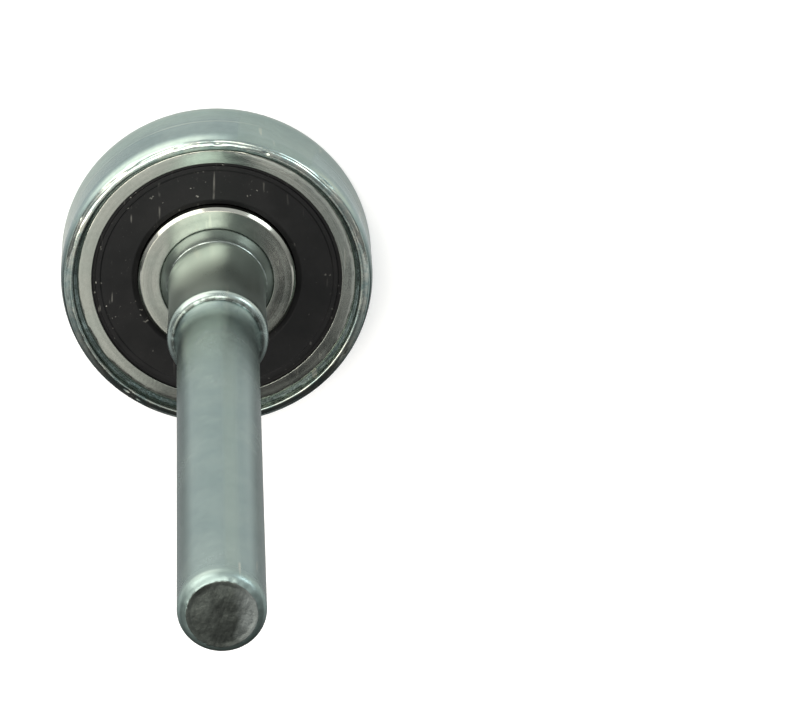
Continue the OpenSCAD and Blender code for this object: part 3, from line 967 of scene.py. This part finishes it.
inner_face = [
    (inner_land, seal_floor - SEAL_BACK_PLAY), (seal_land, seal_floor - SEAL_BACK_PLAY),
    (seal_land, inner_half - INNER_CHAMFER), (seal_land - INNER_CHAMFER, inner_half),
    (BORE_R + BORE_CHAMFER, inner_half), (BORE_R, inner_half - BORE_CHAMFER)]
inner_points = [*inner_groove, *inner_face]
inner_round = [0] * len(inner_groove) + [0.05, 0.1, 0.12, 0.12, 0.10, 0]
inner_ring = turned(
    "inner_bearing_ring",
    refined(softened(both_sides(inner_points), inner_round + inner_round[::-1], True), 0.25, True),
    RING_STEPS, True, inner_relief, {
        # painted highlight along the inner ring's edges
        "edge": lambda r, z, a: (r > seal_land - 0.5) * between(
            np.abs(z - mid_z), inner_half - 0.4, 99, 0.1) * (0.6 + 0.2 * ripple(a, 2, 30, 65)),
        # painted shade in the gap between the inner ring's bore and the stem
        "recess_shade": lambda r, z, a: near(r, BORE_R + 0.05, 0.12)})
for ring, node, body in ((outer_ring, "outer_ring", "wheel"), (inner_ring, "inner_ring", "stem")):
    ring.data.materials.append(ring_steel)
    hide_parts(node)
    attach(ring, body)

# %% [markdown]
# ## Seals
#
# A moulded rubber disc closes each side of the bearing. Its rim is snapped into a groove in the
# outer ring, a low step runs round near the rim, and a thin lip slides on the inner ring. The two
# seals are alike, so one outline serves for both: the rear one is its mirror image, and mirroring
# turns the outline round, which is why its points are reversed.

# %% Seals
SEAL_STEPS = 320
SEAL_RECESS = 0.36
STEP_IN, STEP_UP = 1.02, 0.14
CREASE_WIDE, CREASE_DEEP = 0.45, 0.3
LIP_WIDE, LIP_THICK, LIP_PLAY = 0.7, 0.25, 0.08
# the side of dust and, in part, painted glints, towards the broad left window
DUST_AND_GLINT_SIDE = -42            # degrees round the axis from +X

seal_flat = ring_half - SEAL_RECESS
seal_step = seal_flat + STEP_UP
step_r = mouth_r - STEP_IN
crease = seal_step - CREASE_DEEP
lip_r = seal_land + LIP_PLAY
seal_corners = np.array([
    (lip_r, seal_floor), (groove_r, seal_floor), (groove_r, groove_top - GROOVE_DEEP),
    (mouth_r, groove_top), (mouth_r, crease), (mouth_r - CREASE_WIDE, crease),
    (mouth_r - CREASE_WIDE, seal_step), (step_r, seal_step), (step_r - STEP_UP, seal_flat),
    (lip_r + LIP_WIDE, seal_flat), (lip_r, seal_floor + LIP_THICK)])
seal_round = [0.03, 0, 0, 0, 0, 0.08, 0.08, 0.06, 0.06, 0.25, 0.06]


def seal_relief(seed):
    """Rubber is never quite flat: low waves, and a few small dents on its open face."""
    def relief(r, z, a):
        height = np.abs(z - mid_z)
        face = between(height, seal_flat - 0.02, 99, 0.02) * between(r, lip_r + 0.3, mouth_r, 0.3)
        return -0.018 * face * (1 + mottle(r, a, 24, 2.5, seed)) - 0.02 * face * np.clip(
            mottle(r, a, 70, 0.9, seed + 1, 60) - 0.45, 0, 1)
    return relief


def dust_and_glint_side(r, z, a):
    """1 on the side towards the left window, with dust and in part painted glints, fading to 0.2
    round the other.
    """
    turn = np.cos(a - np.radians(DUST_AND_GLINT_SIDE))
    return 0.2 + 0.8 * between(turn, 0.35, 2, 0.5)


seals = {}
for node, sign, seed in (("front_seal", 1, 71), ("rear_seal", -1, 81)):
    points = softened(seal_corners * (1, sign) + (0, mid_z), seal_round, True)[::sign]
    seals[node] = turned(node.replace("seal", "rubber_seal"), refined(points, 0.2, True),
                         SEAL_STEPS, True, seal_relief(seed), {"dust_and_glint_side": dust_and_glint_side})
    seals[node].data.materials.append(seal_rubber)
    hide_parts(node)
    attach(seals[node], "wheel")

# %% [markdown]
# ## Inside the bearing
#
# Balls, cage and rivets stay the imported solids: their shapes are right and only a cut-away would
# show them. They get clean bearing steel.

# %% Inside the bearing
for name, node in nodes.items():
    if name.startswith("ball_"):
        finish = "ball_steel"
    elif name == "cage_rivets":
        finish = "rivet_steel"
    elif name.startswith("cage_"):
        finish = "cage_steel"
    else:
        continue
    for slot in node.material_slots:
        slot.material = inner_steels[finish]
print("inside:", [n for n in nodes if n.startswith(("ball_", "cage_"))])

# %% [markdown]
# ## Floor and light
#
# The floor is white to the camera and in mirror images, and still takes the roller's shadow: its
# surface is a pale diffuse one, and a little emission, which only camera, glossy and transmission
# rays see, lifts it to white.
#
# Metal shows its surroundings, so the light is planned as a room: a sky that is pale on the
# camera's side and dark behind, a broad window on the left, a small one on the right and panels
# overhead for the flat faces. A studio that lights metal also stands cards round it, white ones
# for the highlights and black ones for the dark lines that give a round edge its shape. The cards
# here are seen by mirror rays only, so they throw no shadow and light nothing else. Those that lie
# just over the floor show their own brightness to low rays only, and come closer to the plain
# floor's for steep ones. No real card does that. It is a shortcut that leaves the floor bright in
# the rod, which mirrors it steeply. The last one stands upright behind the roller.

# %% Floor
FLOOR_HALF = 3000
FLOOR_GREY = 0.80
FLOOR_LIFT = 0.42           # strength of the emission that the camera sees
FLOOR_MIRRORED = 0.2        # share of the lift that mirror rays find


def studio_piece(name, finish, points, faces):
    """A mesh that belongs to the studio and not to the roller, with an empty material. It returns
    the object and the material's tree of nodes."""
    mesh = bpy.data.meshes.new(name)
    mesh.from_pydata(points, [], faces)
    material = bpy.data.materials.new(finish)
    material.use_nodes = True
    material.node_tree.nodes.clear()
    mesh.materials.append(material)
    piece = bpy.data.objects.new(name, mesh)
    bpy.context.scene.collection.objects.link(piece)
    return piece, material.node_tree


def surface(tree, shader):
    """Makes a shader the surface of its material."""
    out = place(tree, "ShaderNodeOutputMaterial")
    tree.links.new(shader.outputs[0], out.inputs["Surface"])


def make_floor():
    """A square sheet under the roller, made white as described above."""
    corners = np.array([(-1, -1, 0), (1, -1, 0), (1, 1, 0), (-1, 1, 0)]) * FLOOR_HALF * MM
    floor, tree = studio_piece("floor", "floor_white", corners.tolist(), [(0, 1, 2, 3)])
    rays = place(tree, "ShaderNodeLightPath").outputs
    mirrored = number_of(tree, "MULTIPLY", rays["Is Glossy Ray"], FLOOR_MIRRORED)
    seen = number_of(tree, "MAXIMUM", rays["Is Camera Ray"], number_of(
        tree, "MAXIMUM", mirrored, rays["Is Transmission Ray"]))
    matt = place(tree, "ShaderNodeBsdfDiffuse", Color=(FLOOR_GREY,) * 3 + (1,))
    lift = place(tree, "ShaderNodeEmission", Color=(1, 1, 1, 1))
    tree.links.new(number_of(tree, "MULTIPLY", seen, FLOOR_LIFT), lift.inputs["Strength"])
    both = place(tree, "ShaderNodeAddShader")
    tree.links.new(matt.outputs[0], both.inputs[0])
    tree.links.new(lift.outputs[0], both.inputs[1])
    surface(tree, both)
    return floor


print("floor:", make_floor().name)

# %% Sky
# how far the direction points to the camera's side: grey
SKY_STEPS = ((-1.0, 0.06), (-0.36, 0.09), (-0.15, 0.25), (0.25, 0.65), (0.7, 0.90), (1.0, 0.90))


def make_sky():
    """A grey sky: its brightness depends on the direction's part towards the camera's side, -y."""
    world = bpy.data.worlds.new("sky")
    world.use_nodes = True
    tree = world.node_tree
    toward = place(tree, "ShaderNodeTexCoord").outputs["Generated"]
    apart = place(tree, "ShaderNodeSeparateXYZ")
    tree.links.new(toward, apart.inputs[0])
    shades = place(tree, "ShaderNodeValToRGB")
    points = shades.color_ramp.elements
    while len(points) < len(SKY_STEPS):
        points.new(0.5)
    for point, (side, grey) in zip(points, SKY_STEPS):
        point.position, point.color = (side + 1) / 2, (grey, grey, grey, 1)
    tree.links.new(number_of(tree, "MULTIPLY_ADD", apart.outputs[1], -0.5, 0.5), shades.inputs[0])
    tree.links.new(shades.outputs["Color"], tree.nodes["Background"].inputs["Color"])
    bpy.context.scene.world = world
    return world


print("world:", make_sky().name)

# %% Lamps
# name: degrees round from the camera's side (left is positive), degrees up, distance, width,
# height, radiance, colour
LAMPS = {
    "window_left": (40, 18, 700, 620, 560, 3.5, (1.0, 0.95, 0.87)),
    "window_top": (46, 70, 700, 800, 250, 5.5, (1.0, 0.95, 0.87)),
    "window_right": (-48, 16, 700, 280, 280, 5.0, (0.93, 1.0, 1.03)),
    "panel_left": (147, 65, 200, 84, 160, 0.95, (1.0, 1.0, 0.95)),
    "panel_right": (-150, 65, 200, 38, 120, 0.60, (0.97, 1.0, 1.0)),
}


def make_lamp(name, round_about, up, distance, width, height, radiance, colour):
    """A rectangular lamp that faces the roller. A flat lamp of power P and area A has the
    radiance P / (pi A), so the power follows from how bright the lamp should look."""
    data = bpy.data.lights.new(name, "AREA")
    data.shape = "RECTANGLE"
    data.size, data.size_y = width * MM, height * MM
    data.color = colour
    data.energy = radiance * np.pi * width * height * MM ** 2
    a, e = np.radians(round_about), np.radians(up)
    toward = Vector((np.sin(a) * np.cos(e), -np.cos(a) * np.cos(e), np.sin(e)))
    lamp = bpy.data.objects.new(name, data)
    lamp.location = Vector((0, 0, face_z * MM)) + toward * distance * MM
    lamp.rotation_euler = toward.to_track_quat("Z", "Y").to_euler()
    lamp.visible_camera = False
    bpy.context.scene.collection.objects.link(lamp)
    return lamp


lamps = [make_lamp(name, *values) for name, values in LAMPS.items()]
bpy.context.scene.view_settings.view_transform = "Standard"
print("lamps:", ", ".join(lamp.name for lamp in lamps))

# %% Cards
CARD_STEPS = 36
CARD_ENDS = 1.3         # a higher number makes a card's ends fade more quickly
STEEP, LOW = 0.87, 0.62     # upward part of the direction back along a ray, from steep to low
CARD_WARM = (1.0, 0.93, 0.84, 1)
WARM_ABOVE = 1          # only a card of more radiance has the warm tint
FLOOR_SEEN = 1.08       # how bright mirror rays find the lit floor
# name: degrees round from, to; radius and height of the lower edge and of the upper edge;
# radiance that low rays find, and steep rays
CARDS = {
    "card_front": (-10, 74, (21, 0.5), (300, 0.6), 3.3, 1.06),
    "card_side": (-78, -44, (21, 0.5), (200, 0.6), 1.6, 1.00),
    "flag_left": (75, 180, (21, 0.5), (60, 0.6), 0.12, 0.45),
    "flag_right": (180, 282, (21, 0.5), (60, 0.6), 0.12, 0.45),
    "flag_behind": (100, 262, (60, 0.7), (62, 105), 0.05, 0.05),
}


def make_card(name, start, end, lower, upper, radiance, steep):
    """A strip of a cone round the axis that only mirror rays see. It has its own radiance in the
    middle and fades to the floor's at its ends."""
    turn = np.radians(np.linspace(start, end, CARD_STEPS + 1))
    around = np.column_stack([np.sin(turn), -np.cos(turn)])
    points = [(*(across * spot[0] * MM), spot[1] * MM) for spot in (lower, upper)
              for across in around]
    faces = [(i, i + 1, i + CARD_STEPS + 2, i + CARD_STEPS + 1) for i in range(CARD_STEPS)]
    card, tree = studio_piece(name, name, points, faces)
    share = np.clip(np.sin(np.linspace(0, np.pi, CARD_STEPS + 1)) * CARD_ENDS, 0, 1)
    attribute = card.data.attributes.new("share", "FLOAT", "POINT")
    attribute.data.foreach_set("value", np.tile(share, 2))
    apart = place(tree, "ShaderNodeSeparateXYZ")
    tree.links.new(place(tree, "ShaderNodeNewGeometry").outputs["Incoming"], apart.inputs[0])
    low = ramp(tree, apart.outputs[2], STEEP, LOW)
    own = number_of(tree, "MULTIPLY_ADD", low, radiance - steep, steep - FLOOR_SEEN)
    share = mask_of(tree, "share")
    glow = place(tree, "ShaderNodeEmission")
    tint = number_of(tree, "MULTIPLY", share, number_of(
        tree, "MULTIPLY", low, float(radiance > WARM_ABOVE)))
    tree.links.new(blended(tree, tint, (1, 1, 1, 1), CARD_WARM), glow.inputs["Color"])
    tree.links.new(number_of(tree, "MULTIPLY_ADD", share, own, FLOOR_SEEN),
                   glow.inputs["Strength"])
    surface(tree, glow)
    card.visible_camera = card.visible_diffuse = card.visible_shadow = False
    card.visible_transmission = card.visible_volume_scatter = False
    return card


cards = [make_card(name, *values) for name, values in CARDS.items()]
print("cards:", ", ".join(card.name for card in cards))
